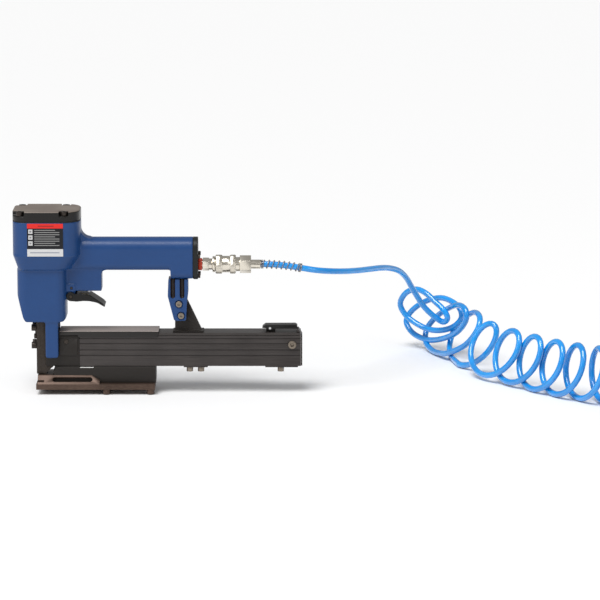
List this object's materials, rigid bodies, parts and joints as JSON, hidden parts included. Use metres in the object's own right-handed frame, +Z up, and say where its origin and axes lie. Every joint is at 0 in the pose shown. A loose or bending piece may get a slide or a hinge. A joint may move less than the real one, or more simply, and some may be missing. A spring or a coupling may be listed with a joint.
{
  "type": "flooring nailer",
  "caption": "Pneumatic flooring stapler: cast head and handle, long ribbed magazine, sloped guide shoe, and a curly air hose on a quick coupler.",
  "frame": {"origin": "on the floor under the middle of the tool without its hose", "axes": "+X from the nose to the rear of the magazine, +Z up along the driver, -Y the side with the sloped shoe face"},
  "size_m": [0.8854, 0.5399, 0.241],
  "materials": {
    "blue_casting": "satin gloss enamel on a cast body",
    "dark_cap": "satin dark grey",
    "gasket": "matt",
    "dark_steel": "blackened, oiled",
    "bright_steel": "ground",
    "rubber": "matt",
    "pale_plastic": "natural acetal",
    "black_plastic": "satin",
    "red_plastic": "moulded",
    "nickel": "warm nickel plate",
    "black_lever": "gloss black",
    "brass": "turned",
    "screw_steel": "bronze-tinted zinc",
    "magazine_black": "dark anodised, ribbed",
    "cover_grey": "grey anodised sheet",
    "black_paint": "satin black",
    "bronze_steel": "bronze-brown oxide",
    "label": null,
    "guard_spring": "lacquered spring wire",
    "hose_blue": "glossy slightly clear polyurethane"
  },
  "bodies": {
    "casing": {"housing": "blue_casting", "cylinder_cap": "dark_cap", "cap_gasket": "gasket", "cap_screws": "dark_steel", "cylinder_sleeve": "bright_steel", "sleeve_o_rings": "rubber", "head_valve_spring": "bright_steel", "bumper": "rubber", "end_cap": "black_plastic", "end_cap_gasket": "gasket", "end_cap_screws": "dark_steel", "plug_collar": "red_plastic", "air_plug": "nickel", "trigger_pin": "dark_steel", "lug_pin": "dark_steel", "trigger_valve_body": "brass", "trigger_valve_spring": "bright_steel", "nose_plate": "dark_steel", "nose_back_plate": "dark_steel", "nose_screws": "dark_steel", "nose_dowels": "dark_steel", "magazine_nose": "black_paint", "magazine_nose_pins": "dark_steel", "magazine_body": "magazine_black", "magazine_cover": "cover_grey", "magazine_side_screws": "screw_steel", "latch_bracket": "black_lever", "latch_pin": "bright_steel", "magazine_pads": "magazine_black", "magazine_base_screws": "screw_steel", "rear_bracket": "blue_casting", "gusset_plate": "black_paint", "bracket_screws": "screw_steel", "shoe_bar": "black_paint", "shoe_plate": "bronze_steel", "shoe_feet": "bronze_steel", "label_plate": "label", "coupler_body": "nickel", "hose_nut": "nickel", "spring_guard": "guard_spring", "hose_lead": "hose_blue", "hose_coil_open": "hose_blue", "hose_coil_closed": "hose_blue", "hose_tail": "hose_blue", "hose_end_fitting": "nickel"},
    "trigger": {"trigger": "black_lever"},
    "valve_stem": {"trigger_valve_stem": "bright_steel"},
    "piston": {"piston": "bright_steel", "piston_o_ring": "rubber", "driver_blade": "dark_steel", "driver_pin": "bright_steel"},
    "head_valve": {"head_valve": "pale_plastic"},
    "rail": {"staple_rail": "bright_steel", "staple_strip": "bright_steel", "rail_end_block": "magazine_black", "pusher_spring": "bright_steel"},
    "pusher": {"pusher": "brass"},
    "latch": {"latch_lever": "black_lever"},
    "coupler_sleeve": {"coupler_sleeve": "nickel"}
  },
  "joints": [
    {"name": "trigger_pivot", "type": "hinge", "parent": "casing", "child": "trigger", "pos_m": [-0.112, 0, 0.127], "axis": [0, -1, 0], "range_deg": [0, 7], "stiffness_Nm_per_rad": 0.4, "springref_deg": -17.19},
    {"name": "valve_stem_slide", "type": "slide", "parent": "casing", "child": "valve_stem", "axis": [0, 0, 1], "range_m": [0, 0.0028], "deforming": ["trigger_valve_spring"]},
    {"name": "piston_stroke", "type": "slide", "parent": "casing", "child": "piston", "axis": [0, 0, -1], "range_m": [0, 0.053]},
    {"name": "head_valve_lift", "type": "slide", "parent": "casing", "child": "head_valve", "axis": [0, 0, 1], "range_m": [0, 0.004], "stiffness_N_per_m": 800, "springref_m": -0.004, "deforming": ["head_valve_spring"]},
    {"name": "rail_slide", "type": "slide", "parent": "casing", "child": "rail", "axis": [1, 0, 0], "range_m": [0, 0.15]},
    {"name": "pusher_slide", "type": "slide", "parent": "rail", "child": "pusher", "axis": [1, 0, 0], "range_m": [0, 0.12], "stiffness_N_per_m": 25, "springref_m": -0.2, "deforming": ["pusher_spring"]},
    {"name": "latch_pivot", "type": "hinge", "parent": "casing", "child": "latch", "pos_m": [0.146, 0, 0.084], "axis": [0, -1, 0], "range_deg": [0, 14], "stiffness_Nm_per_rad": 0.5, "springref_deg": -11.46},
    {"name": "coupler_sleeve_slide", "type": "slide", "parent": "casing", "child": "coupler_sleeve", "axis": [1, 0, 0], "range_m": [0, 0.0045], "stiffness_N_per_m": 1500, "springref_m": -0.003}
  ],
  "couplings": [
    {"joint": "valve_stem_slide", "follows": "trigger_pivot", "m_per_rad": 0.0222}
  ]
}
